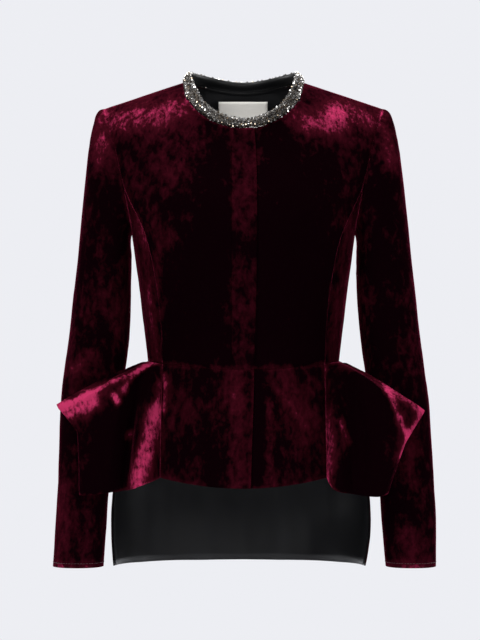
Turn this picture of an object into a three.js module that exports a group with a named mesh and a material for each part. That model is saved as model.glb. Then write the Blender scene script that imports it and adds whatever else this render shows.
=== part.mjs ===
// Peplum blazer, filled out as when worn, open at the neck, cuffs and hem.
// Millimetres. +Z is up, the front faces -Y and the wearer's right is -X.
// The origin is the middle of the neck opening at the height of the shoulder line.
import * as THREE from "three";

// Driving sizes
const CLOTH = 2.4; // velvet with its backing
const LINING = 1.0;
const SEAM_GAP = 0.3; // between the edges of two panels
const UNDERLAP_DEPTH = 3.3; // how far the left front lies under the placket
const UNDERLAP_EDGE_X = -14;
const LAP_BLEND = [19, 30]; // where the left front comes back up to the surface
const PLACKET_STITCH_X = -15.5;
const SHOULDER = { x: 188, z: -33.5, slope: 1 / 3, round: 85, y: 4 };
const NECK = { halfWidth: 81, frontZ: -64, backZ: -6 };
const BAND = { width: 13, sideExtra: 2, out: 3.4, under: 2.4, sides: 8, gap: 0.5, sideGap: 1.4 };
const UNDERARM_Z = -205;
const SECTION_POWER = 2.3; // squareness of a level section of the body
const WAIST = { sideZ: -374, frontDrop: 10, backDrop: 4, seamAngle: 57, sideAngle: 94 };
const PEPLUM = { hemHalf: 110, hemFrontY: -115, hemSeamY: -76, hemFrontZ: -539, hemSeamZ: -527, kick: 1.5 };
const LABEL = { left: -35, right: 34, top: -15, bottom: -57, standOff: 1.2 };
const LINING_COLUMNS = 10; // of the back panel's columns, from the centre back
const LINING_SHORT = 1.5; // how far a lining stays inside its panel's rim

// Level sections of the body: half width, and depth in front of and behind the shoulder seam
const BODY = [
  { z: -392, half: 128.5, front: 91, back: 88 },
  { z: -374, half: 129.2, front: 93, back: 88 },
  { z: -337, half: 133.5, front: 100, back: 93 },
  { z: -305, half: 137.5, front: 109, back: 99 },
  { z: -273, half: 141, front: 118, back: 105 },
  { z: -240, half: 146, front: 124, back: 110 },
  { z: -205, half: 150.4, front: 124.5, back: 113 },
  { z: -190, half: 156, front: 122, back: 114 },
  { z: -150, half: 172, front: 108, back: 113 },
  { z: -110, half: 184, front: 86, back: 108 },
  { z: -75, half: 190, front: 70, back: 101 },
  { z: -36, half: 192, front: 58, back: 93 },
  { z: 30, half: 192, front: 46, back: 118 },
];

// The armhole seam from the shoulder point (0) to the underarm (1): degrees round from the centre front
const ARMHOLE = [
  { along: 0, angle: 78.3 },
  { along: 0.15, angle: 74 },
  { along: 0.3, angle: 68 },
  { along: 0.45, angle: 65.5 },
  { along: 0.6, angle: 66.5 },
  { along: 0.75, angle: 73 },
  { along: 0.9, angle: 82 },
  { along: 1, angle: 90 },
];
const ARMHOLE_STEPS = 10;
const ARMHOLE_MIDDLE = new THREE.Vector3(150, 0, -110);
const PRINCESS_STEP = 6; // the front panel takes this many steps of the armhole from the top
const PRINCESS = { inwards: 5, curve: 1.6 }; // degrees that the seam swings inwards, and its bend
const SIDE_ROWS = 8; // waist to underarm
const SHOULDER_STEPS = 6;
const PANEL_SWEEP = 3; // how late a panel's rows take up the line of its top edge
const NECK_SHARE = 0.72; // of a panel's lower edge that lies under the neck
// Degrees round the neck from the front, as far as the shoulder seam at 90, which each panel adds
const FRONT_NECK = [11, 22, 34, 46, 57, 67, 75.5, 82, 86.4, 89];
const BACK_NECK = [180, 167, 154, 141, 129, 118, 108, 99];

// Level sections of the two sleeves: how far out their sides lie, and their front and back
const SLEEVE = [
  { z: -235, outerRight: 224, innerRight: 150.5, outerLeft: 227, innerLeft: 151.5, front: -52, back: 50 },
  { z: -289, outerRight: 230, innerRight: 151, outerLeft: 233, innerLeft: 152, front: -54, back: 46 },
  { z: -354, outerRight: 237, innerRight: 153.5, outerLeft: 239.5, innerLeft: 158, front: -57, back: 38 },
  { z: -418, outerRight: 246, innerRight: 163.5, outerLeft: 249, innerLeft: 167, front: -58, back: 29 },
  { z: -480, outerRight: 248, innerRight: 173, outerLeft: 253, innerLeft: 175, front: -58.5, back: 22 },
  { z: -530, outerRight: 249, innerRight: 179.5, outerLeft: 256, innerLeft: 180.5, front: -59, back: 18 },
  { z: -597, outerRight: 253, innerRight: 183.5, outerLeft: 259.5, innerLeft: 185.6, front: -60, back: 15 },
  { z: -648, outerRight: 256, innerRight: 187, outerLeft: 258.5, innerLeft: 190, front: -60.5, back: 13 },
];
const SLEEVE_CAP_ROWS = [0, 0.07, 0.16, 0.28, 0.43, 0.6, 0.8];
const SLEEVE_LEVELS = [-235, -275, -315, -354, -390, -425, -460, -500, -548, -597, -648];
const SLEEVE_POWER = 2.15;
const CAP = { lean: 0.103, reach: 22, underReach: 8, drop: 150, underDrop: 10 }; // the pull of the sleeve head's curves

// The lap's free edge, from the hem up
const LAP_EDGE = [
  { z: -545, x: 9.5 },
  { z: -480, x: 11 },
  { z: -430, x: 13 },
  { z: -384, x: 14 },
  { z: -355, x: 14.5 },
  { z: -290, x: 16.5 },
  { z: -130, x: 17.5 },
  { z: -72, x: 15 },
  { z: -60, x: 13 },
];

// Back peplum: where its front edge lies, and how far back its middle reaches
const BACK_PEPLUM = [
  { z: -374, left: 129.2, right: 129.2, back: 92 },
  { z: -400, left: 138, right: 139, back: 97 },
  { z: -430, left: 148, right: 149, back: 101 },
  { z: -470, left: 157, right: 160, back: 105 },
  { z: -510, left: 166, right: 169, back: 108 },
  { z: -551, left: 171, right: 178, back: 110 },
  { z: -600, left: 174.5, right: 180.5, back: 111 },
  { z: -652, left: 166, right: 177, back: 111 },
];
const BACK_PEPLUM_LEVELS = [-580, -616, -652];
const BACK_PEPLUM_COLUMNS = 20;

// Hip drapes, a row for each fold: where it leaves the waist (degrees), its crest, its middle and its hem.
// x is outwards. bow pushes the stretch from waist to crest forwards, and soft rounds the corner at the crest.
const RIGHT_FOLDS = [
  { fold: "front roll", waist: 61, cx: 115, cy: -76, cz: -412, mx: 120, my: -90, mz: -468, hx: 123, hy: -97, hz: -532, bow: 0, soft: 1 },
  { fold: "front roll edge", waist: 65, cx: 125, cy: -82, cz: -410, mx: 134, my: -100, mz: -468, hx: 143, hy: -103, hz: -539, bow: 4, soft: 1 },
  { fold: "valley", waist: 70, cx: 137, cy: -62, cz: -402, mx: 146, my: -68, mz: -460, hx: 158, hy: -70, hz: -544, bow: 0, soft: 1 },
  { fold: "second ridge", waist: 74, cx: 158, cy: -92, cz: -410, mx: 168, my: -97, mz: -465, hx: 180, hy: -95, hz: -546, bow: 6, soft: 0.5 },
  { fold: "face", waist: 77, cx: 184, cy: -92, cz: -409, mx: 190, my: -100, mz: -465, hx: 197, hy: -99, hz: -548, bow: 12, soft: 0.3 },
  { fold: "facet", waist: 80, cx: 212, cy: -93, cz: -424, mx: 205, my: -103, mz: -468, hx: 207, hy: -98, hz: -549, bow: 16, soft: 0.2 },
  { fold: "facet edge", waist: 82, cx: 238, cy: -97, cz: -438, mx: 216, my: -100, mz: -468, hx: 214, hy: -93, hz: -549, bow: 18, soft: 0 },
  { fold: "tip", waist: 84, cx: 247, cy: -88, cz: -430, mx: 219, my: -87, mz: -462, hx: 217, hy: -84, hz: -549, bow: 20, soft: 0 },
  { fold: "tip return", waist: 86, cx: 238, cy: -78, cz: -429, mx: 214, my: -76, mz: -468, hx: 212, hy: -75, hz: -548, bow: 16, soft: 0.1 },
  { fold: "back face", waist: 88, cx: 188, cy: -68, cz: -410, mx: 190, my: -68, mz: -466, hx: 190, hy: -68, hz: -547, bow: 12, soft: 0.4 },
  { fold: "back fold", waist: 91, cx: 154, cy: -44, cz: -402, mx: 160, my: -52, mz: -466, hx: 168, hy: -52, hz: -546, bow: 2, soft: 0.8 },
];
const LEFT_FOLDS = [
  { fold: "front roll", waist: 60, cx: 113, cy: -76, cz: -412, mx: 115, my: -92, mz: -468, hx: 118, hy: -101, hz: -541, bow: 0, soft: 1 },
  { fold: "front roll edge", waist: 63, cx: 120, cy: -82, cz: -410, mx: 125, my: -96, mz: -465, hx: 130, hy: -101, hz: -545, bow: 2, soft: 1 },
  { fold: "valley", waist: 67, cx: 134, cy: -70, cz: -400, mx: 138, my: -76, mz: -458, hx: 144, hy: -84, hz: -548, bow: 0, soft: 1 },
  { fold: "second ridge", waist: 71, cx: 150, cy: -84, cz: -398, mx: 158, my: -92, mz: -464, hx: 160, hy: -94, hz: -550, bow: 6, soft: 0.7 },
  { fold: "face", waist: 75, cx: 172, cy: -91, cz: -404, mx: 180, my: -99, mz: -468, hx: 175, hy: -98, hz: -551, bow: 12, soft: 0.3 },
  { fold: "facet crease", waist: 78, cx: 186, cy: -98, cz: -413, mx: 212, my: -99, mz: -474, hx: 183, hy: -96, hz: -550, bow: 14, soft: 0 },
  { fold: "facet", waist: 81, cx: 214, cy: -89, cz: -430, mx: 215, my: -90, mz: -470, hx: 188, hy: -92, hz: -548, bow: 17, soft: 0 },
  { fold: "tip", waist: 84, cx: 239.5, cy: -88, cz: -438, mx: 214, my: -84, mz: -480, hx: 191, hy: -85, hz: -547, bow: 20, soft: 0 },
  { fold: "tip return", waist: 86, cx: 231, cy: -78, cz: -436, mx: 209, my: -76, mz: -480, hx: 187, hy: -76, hz: -547, bow: 16, soft: 0.1 },
  { fold: "back face", waist: 88, cx: 186, cy: -68, cz: -411, mx: 188, my: -68, mz: -468, hx: 176, hy: -68, hz: -547, bow: 12, soft: 0.4 },
  { fold: "back fold", waist: 91, cx: 153, cy: -44, cz: -402, mx: 158, my: -52, mz: -466, hx: 162, hy: -52, hz: -547, bow: 2, soft: 0.8 },
];
const FOLD_LEG_STEPS = 4;
const CREST_LIFT = 0.25; // how much of the bow also raises the crest
const COLUMNS_PER_FOLD = 2;

const COLOURS = {
  velvet: new THREE.MeshStandardMaterial({ color: 0x4a0a22, roughness: 0.75, metalness: 0 }),
  lining: new THREE.MeshStandardMaterial({ color: 0x141416, roughness: 0.55, metalness: 0 }),
  label: new THREE.MeshStandardMaterial({ color: 0xe6e2da, roughness: 0.6, metalness: 0 }),
  beads: new THREE.MeshStandardMaterial({ color: 0x6f6a62, roughness: 0.3, metalness: 0.5 }),
};

const radians = THREE.MathUtils.degToRad;
const V = (x, y, z) => new THREE.Vector3(x, y, z);
const times = (count, make) => Array.from({ length: count }, (_, i) => make(i));
const mix = (a, b, t) => a + (b - a) * t;

// A smooth value from one column of a table, read by another column that rises
function read(table, by, at, column) {
  const last = table.length - 1;
  const x = THREE.MathUtils.clamp(at, table[0][by], table[last][by]);
  let i = 0;
  while (i < last - 1 && table[i + 1][by] < x) i += 1;
  const slope = (k) => {
    const a = table[Math.max(k - 1, 0)];
    const b = table[Math.min(k + 1, last)];
    return (b[column] - a[column]) / (b[by] - a[by]);
  };
  const width = table[i + 1][by] - table[i][by];
  const t = (x - table[i][by]) / width;
  const curve = (2 * t ** 3 - 3 * t ** 2 + 1) * table[i][column] + (3 * t ** 2 - 2 * t ** 3) * table[i + 1][column];
  return curve + ((t ** 3 - 2 * t ** 2 + t) * slope(i) + (t ** 3 - t ** 2) * slope(i + 1)) * width;
}
const rising = (table) => [...table].sort((a, b) => a.z - b.z);
const SLEEVE_UP = rising(SLEEVE);
const BACK_PEPLUM_UP = rising(BACK_PEPLUM);

// The body's surface: a level section that rounds over into the shoulder line
function shoulderLine(x) {
  const out = Math.abs(x);
  const neck = NECK.halfWidth;
  const sideZ = SHOULDER.z + (SHOULDER.x - Math.max(out, neck)) * SHOULDER.slope;
  return out > neck ? sideZ : sideZ + (SHOULDER.slope * (neck ** 2 - out ** 2)) / (2 * neck);
}
function sectionSquared(x, z) {
  const rest = 1 - Math.abs(x / read(BODY, "z", z, "half")) ** SECTION_POWER;
  return Math.sign(rest) * Math.abs(rest) ** (2 / SECTION_POWER);
}
function shoulderSquared(x, z) {
  const drop = (shoulderLine(x) - z) / SHOULDER.round;
  return drop > 1 ? 1 : 1 - (1 - drop) ** 2;
}
function onBody(degrees, z) {
  const x = read(BODY, "z", z, "half") * Math.sin(radians(degrees));
  const isFront = Math.abs(degrees) <= 90;
  const depth = read(BODY, "z", z, isFront ? "front" : "back");
  const reach = depth * Math.sqrt(Math.max(0, sectionSquared(x, z) * Math.max(0, shoulderSquared(x, z))));
  return V(x, SHOULDER.y + (isFront ? -reach : reach), z);
}
function bodyField(p) {
  const depth = read(BODY, "z", p.z, p.y < SHOULDER.y ? "front" : "back");
  return ((p.y - SHOULDER.y) / depth) ** 2 - sectionSquared(p.x, p.z) * shoulderSquared(p.x, p.z);
}
function bodyNormal(p) {
  const step = 0.05;
  const change = (d) => bodyField(p.clone().add(d)) - bodyField(p.clone().sub(d));
  return V(change(V(step, 0, 0)), change(V(0, step, 0)), change(V(0, 0, step))).normalize();
}
const angleAt = (x, z) => THREE.MathUtils.radToDeg(Math.asin(x / read(BODY, "z", z, "half")));

// Seam lines of the body, each point as degrees round from the centre front and height
function armholeAt(along) {
  const z = mix(SHOULDER.z, UNDERARM_Z, (1 - Math.cos(Math.PI * along)) / 2);
  return { degrees: read(ARMHOLE, "along", along, "angle"), z };
}
function neckAt(degrees) {
  const x = NECK.halfWidth * Math.sin(radians(degrees));
  const sideZ = shoulderLine(NECK.halfWidth);
  const facing = Math.cos(radians(degrees));
  const z = facing > 0 ? mix(sideZ, NECK.frontZ, facing) : mix(sideZ, NECK.backZ, facing ** 4);
  const around = angleAt(x, z);
  return { degrees: facing > 0 ? around : 180 - around, z };
}
function waistZ(degrees) {
  const facing = Math.cos(radians(degrees));
  return WAIST.sideZ - (facing > 0 ? WAIST.frontDrop : WAIST.backDrop) * facing ** 2;
}
const waistAt = (degrees) => ({ degrees, z: waistZ(degrees) });
function shoulderAt(share) {
  const x = mix(NECK.halfWidth, SHOULDER.x, share);
  const z = shoulderLine(x);
  return { degrees: angleAt(x, z), z };
}
const behind = (p) => ({ degrees: 180 - p.degrees, z: p.z });
const princessAt = (share) => {
  const top = armholeAt(PRINCESS_STEP / ARMHOLE_STEPS);
  const inwards = PRINCESS.inwards * Math.sin(Math.PI * share);
  const degrees = mix(WAIST.seamAngle, top.degrees, share ** PRINCESS.curve) - inwards;
  return { degrees, z: mix(waistZ(WAIST.seamAngle), top.z, share) };
};

// A panel's points between its four edges, row by row from the bottom
function panel(left, right, bottom, top) {
  const columns = bottom.length - 1;
  const rows = left.length - 1;
  return times(columns + 1, (i) => times(rows + 1, (j) => {
    const u = i / columns;
    const height = (right[j].z - right[0].z) / (right[rows].z - right[0].z);
    const blend = (key, v) => mix(left[j][key], right[j][key], u) + mix(bottom[i][key], top[i][key], v)
      - mix(mix(bottom[0][key], bottom[columns][key], u), mix(top[0][key], top[columns][key], u), v);
    return onBody(blend("degrees", height ** PANEL_SWEEP), blend("z", height));
  }));
}

// Moves the rim of a grid of points inwards, square to its edge, to leave the gap at its seams
function trim(points, by = SEAM_GAP / 2 + 0.02) {
  const columns = points.length - 1;
  const rows = points[0].length - 1;
  const inwards = (p, inner, before, after) => {
    const edge = after.clone().sub(before).normalize();
    const to = inner.clone().sub(p);
    return to.addScaledVector(edge, -to.dot(edge)).setLength(by);
  };
  return points.map((column, i) => column.map((p, j) => {
    const moved = p.clone();
    const [lower, upper] = [Math.max(j - 1, 0), Math.min(j + 1, rows)];
    const [before, after] = [points[Math.max(i - 1, 0)], points[Math.min(i + 1, columns)]];
    if (i === 0 || i === columns) moved.add(inwards(p, points[i === 0 ? 1 : columns - 1][j], column[lower], column[upper]));
    if (j === 0 || j === rows) moved.add(inwards(p, column[j === 0 ? 1 : rows - 1], before[j], after[j]));
    return moved;
  }));
}

// Normals from neighbouring points, pointing the way that side says
function gridNormals(points, closed = false) {
  const columns = points.length;
  const rows = points[0].length;
  const at = (i, j) => points[closed ? (i + columns) % columns : THREE.MathUtils.clamp(i, 0, columns - 1)][j];
  return points.map((column, i) => column.map((_, j) => {
    const across = at(i + 1, j).clone().sub(at(i - 1, j));
    const along = at(i, Math.min(j + 1, rows - 1)).clone().sub(at(i, Math.max(j - 1, 0)));
    return across.cross(along).normalize();
  }));
}

// One closed solid between an outer and an inner grid of points
function shell(outer, inner, closed = false) {
  const columns = outer.length;
  const rows = outer[0].length;
  const position = [];
  for (const grid of [outer, inner]) for (const column of grid) for (const p of column) position.push(p.x, p.y, p.z);
  const id = (layer, i, j) => layer * columns * rows + (i % columns) * rows + j;
  const index = [];
  const quad = (a, b, c, d) => index.push(a, b, c, a, c, d);
  const spans = closed ? columns : columns - 1;
  for (let i = 0; i < spans; i += 1) {
    for (let j = 0; j < rows - 1; j += 1) {
      quad(id(0, i, j), id(0, i + 1, j), id(0, i + 1, j + 1), id(0, i, j + 1));
      quad(id(1, i, j), id(1, i, j + 1), id(1, i + 1, j + 1), id(1, i + 1, j));
    }
    quad(id(0, i, 0), id(1, i, 0), id(1, i + 1, 0), id(0, i + 1, 0));
    quad(id(0, i, rows - 1), id(0, i + 1, rows - 1), id(1, i + 1, rows - 1), id(1, i, rows - 1));
  }
  if (!closed) {
    for (let j = 0; j < rows - 1; j += 1) {
      const k = columns - 1;
      quad(id(0, 0, j), id(0, 0, j + 1), id(1, 0, j + 1), id(1, 0, j));
      quad(id(0, k, j), id(1, k, j), id(1, k, j + 1), id(0, k, j + 1));
    }
  }
  const geometry = new THREE.BufferGeometry();
  geometry.setAttribute("position", new THREE.Float32BufferAttribute(position, 3));
  geometry.setIndex(volume(position, index) < 0 ? index.reverse() : index);
  return geometry;
}
function volume(position, index) {
  const at = (k) => V(position[3 * k], position[3 * k + 1], position[3 * k + 2]);
  let sum = 0;
  for (let k = 0; k < index.length; k += 3) sum += at(index[k]).dot(at(index[k + 1]).cross(at(index[k + 2])));
  return sum;
}
const offset = (points, normals, by) => points.map((column, i) => column.map((p, j) => p.clone().addScaledVector(normals[i][j], by)));

const jacket = new THREE.Group();
function add(name, geometry, material) {
  geometry.computeVertexNormals();
  const mesh = new THREE.Mesh(geometry, material);
  mesh.name = name;
  jacket.add(mesh);
}
const bodyNormals = (points) => points.map((column) => column.map(bodyNormal));
function addWall(name, points, normals, material = COLOURS.velvet, wall = CLOTH) {
  add(name, shell(points, offset(points, normals, -wall)), material);
}
const mirrorX = (p) => V(-p.x, p.y, p.z);
const flip = (grid) => grid.map((column) => column.map(mirrorX));

// How deep a point of the left front lies under the placket
const lapDepth = (x) => UNDERLAP_DEPTH * (1 - THREE.MathUtils.smoothstep(x, LAP_BLEND[0], LAP_BLEND[1]));
function sinkUnderLap(points, normals) {
  return points.map((column, i) => column.map((p, j) => p.clone().addScaledVector(normals[i][j], -lapDepth(p.x))));
}

// Bodice: where the columns of a panel stand on its lower edge, more of them under the shoulder
function spread(count) {
  const neck = count - 1 - SHOULDER_STEPS;
  return times(count, (i) => (i <= neck ? (NECK_SHARE * i) / neck : mix(NECK_SHARE, 1, (i - neck) / SHOULDER_STEPS)));
}
const frontArmholeRows = () => times(PRINCESS_STEP, (k) => armholeAt((PRINCESS_STEP - 1 - k) / ARMHOLE_STEPS));
function frontRowShares() {
  const heights = [...times(SIDE_ROWS + 1, (j) => princessAt(j / SIDE_ROWS)), ...frontArmholeRows()].map((p) => p.z);
  return heights.map((z) => (z - heights[0]) / (SHOULDER.z - heights[0]));
}
function frontGrid(edgeX, extraNeck) {
  const armholeRows = frontArmholeRows();
  const right = [...times(SIDE_ROWS + 1, (j) => princessAt(j / SIDE_ROWS)), ...armholeRows];
  const rowShare = frontRowShares();
  const neck = [...extraNeck, ...FRONT_NECK].map(neckAt);
  const top = [...neck, ...times(SHOULDER_STEPS + 1, (k) => shoulderAt(k / SHOULDER_STEPS))];
  const first = angleAt(edgeX, waistZ(0));
  const bottom = spread(top.length).map((share) => waistAt(mix(first, WAIST.seamAngle, share)));
  const left = rowShare.map((share) => {
    const z = mix(waistZ(0), top[0].z, share);
    return { degrees: angleAt(edgeX, z), z };
  });
  top[0] = left[left.length - 1];
  return panel(left, right, bottom, top);
}
function sideFrontGrid() {
  const steps = ARMHOLE_STEPS - PRINCESS_STEP;
  const left = times(SIDE_ROWS + 1, (j) => princessAt(j / SIDE_ROWS));
  const right = times(SIDE_ROWS + 1, (j) => ({ degrees: 90, z: mix(waistZ(90), UNDERARM_Z, j / SIDE_ROWS) }));
  const top = times(steps + 1, (k) => armholeAt((PRINCESS_STEP + k) / ARMHOLE_STEPS));
  const bottom = times(steps + 1, (i) => waistAt(mix(WAIST.seamAngle, 90, i / steps)));
  return panel(left, right, bottom, top);
}
function backGrid() {
  const side = times(SIDE_ROWS + 1, (j) => ({ degrees: 90, z: mix(waistZ(90), UNDERARM_Z, j / SIDE_ROWS) }));
  const armhole = times(ARMHOLE_STEPS, (k) => behind(armholeAt((ARMHOLE_STEPS - 1 - k) / ARMHOLE_STEPS)));
  const right = [...side, ...armhole];
  const top = [...BACK_NECK.map(neckAt), ...times(SHOULDER_STEPS + 1, (k) => behind(shoulderAt(k / SHOULDER_STEPS)))];
  const bottom = spread(top.length).map((share) => waistAt(mix(180, 90, share)));
  const left = right.map((p) => {
    const share = (p.z - right[0].z) / (right[right.length - 1].z - right[0].z);
    return { degrees: 180, z: mix(waistZ(180), NECK.backZ, share) };
  });
  return panel(left, right, bottom, top);
}
function addBodice() {
  const right = trim(flip(frontGrid(-PLACKET_STITCH_X, [])));
  addWall("front_right", right, bodyNormals(right));
  const left = trim(frontGrid(UNDERLAP_EDGE_X, [-10, 1]));
  addWall("front_left", sinkUnderLap(left, bodyNormals(left)), bodyNormals(left));
  const side = trim(sideFrontGrid());
  addWall("side_front_left", side, bodyNormals(side));
  addWall("side_front_right", flip(side), bodyNormals(flip(side)));
  const back = trim(backGrid());
  addWall("back_left", back, bodyNormals(back));
  const backRight = flip(back).reverse();
  addWall("back_right", backRight, bodyNormals(backRight));
}

// Placket of the hidden fastening, on the right front's edge and over the left front
function addPlacket() {
  const columns = 3;
  const points = trim(times(columns + 1, (i) => frontRowShares().map((share) => {
    const z = mix(waistZ(0), NECK.frontZ, share);
    const x = mix(PLACKET_STITCH_X, read(LAP_EDGE, "z", z, "x"), i / columns);
    const top = neckAt(THREE.MathUtils.radToDeg(Math.asin(x / NECK.halfWidth))).z;
    const level = mix(waistZ(0), top, share);
    return onBody(angleAt(x, level), level);
  })));
  addWall("placket", points, bodyNormals(points));
}

// Sleeves: a tube from the armhole seam over the padded head to the cuff
function sleeveRing(turn, z, side) {
  const level = (column) => read(SLEEVE_UP, "z", z, column);
  const [outer, inner] = [level(`outer${side}`), level(`inner${side}`)];
  const bend = (value) => Math.sign(value) * Math.abs(value) ** (2 / SLEEVE_POWER);
  const x = mix(inner, outer, (1 + bend(Math.cos(turn))) / 2);
  return V(x, mix(level("back"), level("front"), (1 + bend(Math.sin(turn))) / 2), z);
}
function armholePoint(k) {
  const front = k <= ARMHOLE_STEPS;
  const p = armholeAt((front ? k : 2 * ARMHOLE_STEPS - k) / ARMHOLE_STEPS);
  return onBody(front ? p.degrees : 180 - p.degrees, p.z);
}
function sleeveGrid(side) {
  const count = 2 * ARMHOLE_STEPS;
  const heads = times(count, armholePoint);
  const firstNormals = [];
  const points = heads.map((head, k) => {
    const turn = (2 * Math.PI * k) / count;
    const height = (1 + Math.cos(turn)) / 2;
    const outwards = V(0.35 + 0.65 * Math.sqrt(height), -0.45 * Math.sin(turn), -0.94 + height).normalize();
    const normal = bodyNormal(head);
    const tangent = heads[(k + 1) % count].clone().sub(heads[(k + count - 1) % count]).normalize();
    const away = tangent.clone().cross(normal).normalize();
    if (away.dot(ARMHOLE_MIDDLE.clone().sub(head)) < 0) away.negate();
    const turned = Math.max(0, Math.atan2(outwards.dot(normal), outwards.dot(away)));
    firstNormals.push(normal.clone().multiplyScalar(Math.cos(turned)).addScaledVector(away, -Math.sin(turned)));
    const seam = turned <= Math.PI / 2 ? away.clone() : normal.clone().multiplyScalar(-Math.cos(turned)).addScaledVector(away, Math.sin(turned));
    const start = head.clone().addScaledVector(seam, SEAM_GAP + 0.05);
    const end = sleeveRing(turn, SLEEVE_LEVELS[0], side);
    const lift = mix(CAP.underDrop, CAP.drop, height ** 1.3);
    const curve = new THREE.CubicBezierCurve3(
      start,
      start.clone().addScaledVector(outwards, mix(CAP.underReach, CAP.reach, Math.sqrt(height))),
      end.clone().add(V(-CAP.lean * lift * height, 0, lift)),
      end,
    );
    return [...SLEEVE_CAP_ROWS.map((u) => curve.getPoint(u)), ...SLEEVE_LEVELS.map((z) => sleeveRing(turn, z, side))];
  });
  const normals = gridNormals(points, true);
  if (normals[0][0].z < 0) normals.forEach((column) => column.forEach((n) => n.negate()));
  normals.forEach((column, k) => { column[0] = firstNormals[k]; });
  return { points, normals };
}
function addSleeves() {
  for (const side of ["Left", "Right"]) {
    const { points, normals } = sleeveGrid(side);
    const inner = offset(points, normals, -CLOTH);
    const place = side === "Left" ? (grid) => grid : flip;
    add(`sleeve_${side.toLowerCase()}`, shell(place(points), place(inner), true), COLOURS.velvet);
  }
}

// Neck band, open at the lap, thick enough to carry its stones
function addNeckBand() {
  const lap = THREE.MathUtils.radToDeg(Math.asin(LAP_EDGE[LAP_EDGE.length - 1].x / NECK.halfWidth));
  const left = [lap, ...FRONT_NECK, 90, ...BACK_NECK.slice(1).reverse()];
  const right = [...BACK_NECK, 90, ...[...FRONT_NECK].reverse(), 3, -lap + 0.4].map((d) => -d);
  const frame = [...left, ...right].map((degrees) => {
    const seam = neckAt(Math.abs(degrees));
    const base = onBody(seam.degrees * Math.sign(degrees || 1), seam.z);
    const [side, facing] = [Math.sin(radians(degrees)), Math.cos(radians(degrees))];
    const up = V(-0.62 * side, 0.38 * facing, 0.9 - 0.1 * Math.abs(side)).normalize();
    const half = (BAND.width + BAND.sideExtra * Math.abs(side)) / 2;
    return { base, up, out: bodyNormal(base), half, gap: mix(BAND.gap, BAND.sideGap, side ** 2) };
  });
  frame.forEach(({ base, up }, i) => {
    const along = frame[Math.min(i + 1, frame.length - 1)].base.clone().sub(frame[Math.max(i - 1, 0)].base).normalize();
    up.addScaledVector(along, -up.dot(along)).normalize();
  });
  const rings = frame.map(({ base, up, out, half, gap }) => times(BAND.sides, (k) => {
    const turn = (2 * Math.PI * k) / BAND.sides;
    const soft = (value, power) => Math.sign(value) * Math.abs(value) ** power;
    const rise = half * (1 + soft(-Math.cos(turn), 0.6)) + gap;
    const reach = mix(-BAND.under, BAND.out, (1 + soft(Math.sin(turn), 0.8)) / 2);
    return base.clone().addScaledVector(up, rise).addScaledVector(out, reach);
  }));
  add("neck_band", tube(rings), COLOURS.beads);
}
// A solid bar through rings of points, closed by a fan at each end
function tube(rings) {
  const size = rings[0].length;
  const position = rings.flat().flatMap((p) => [p.x, p.y, p.z]);
  const index = [];
  for (let i = 0; i < rings.length - 1; i += 1) {
    for (let k = 0; k < size; k += 1) {
      const [a, b] = [i * size + k, i * size + (k + 1) % size];
      index.push(a, b, b + size, a, b + size, a + size);
    }
  }
  const last = (rings.length - 1) * size;
  for (let k = 1; k < size - 1; k += 1) index.push(0, k + 1, k, last, last + k, last + k + 1);
  const geometry = new THREE.BufferGeometry();
  geometry.setAttribute("position", new THREE.Float32BufferAttribute(position, 3));
  geometry.setIndex(volume(position, index) < 0 ? index.reverse() : index);
  return geometry;
}

// Back neck lining, on the back panels' own points, and the bare label on it
function addBackNeck() {
  const half = backGrid().slice(0, LINING_COLUMNS + 1).map((column) => column.slice(SIDE_ROWS));
  const points = trim([...flip(half).reverse(), ...half.slice(1)], LINING_SHORT);
  const normals = bodyNormals(points);
  addWall("back_neck_lining", offset(points, normals, -CLOTH - 1.5 * SEAM_GAP), normals, COLOURS.lining, LINING);
  const label = times(5, (i) => times(4, (j) => {
    const z = mix(LABEL.bottom, LABEL.top, j / 3);
    return onBody(180 - angleAt(mix(LABEL.left, LABEL.right, i / 4), z), z);
  }));
  const labelNormals = bodyNormals(label);
  const depth = CLOTH + LINING + SEAM_GAP + LABEL.standOff;
  addWall("neck_label", offset(label, labelNormals, -depth), labelNormals, COLOURS.label, LINING);
}

// Front peplum, from the princess seam to the lap
function frontPeplumPoint(degrees, share, edgeX) {
  const start = onBody(degrees, waistZ(degrees));
  const x0 = edgeX === undefined ? start.x : edgeX;
  const x = mix(x0, edgeX === undefined ? (x0 * PEPLUM.hemHalf) / onBody(WAIST.seamAngle, waistZ(WAIST.seamAngle)).x : x0, share);
  const side = Math.min(1, (x / PEPLUM.hemHalf) ** 2);
  const out = 1 - (1 - share) ** PEPLUM.kick;
  return V(
    x,
    mix(start.y, mix(PEPLUM.hemFrontY, PEPLUM.hemSeamY, side), out),
    mix(start.z, mix(PEPLUM.hemFrontZ, PEPLUM.hemSeamZ, side), share),
  );
}
const PEPLUM_SHARES = [0, 0.06, 0.13, 0.2, 0.28, 0.37, 0.46, 0.55, 0.64, 0.73, 0.82, 0.91, 1];
function frontPeplumGrid(firstX) {
  const columns = 7;
  return times(columns + 1, (i) => PEPLUM_SHARES.map((share) => {
    const z = mix(waistZ(0), PEPLUM.hemFrontZ, share);
    const edge = firstX(z);
    const first = angleAt(edge, waistZ(0));
    const p = frontPeplumPoint(mix(first, WAIST.seamAngle, i / columns), share);
    return i === 0 ? frontPeplumPoint(first, share, edge) : p;
  })).map((column) => column.reverse());
}

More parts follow.
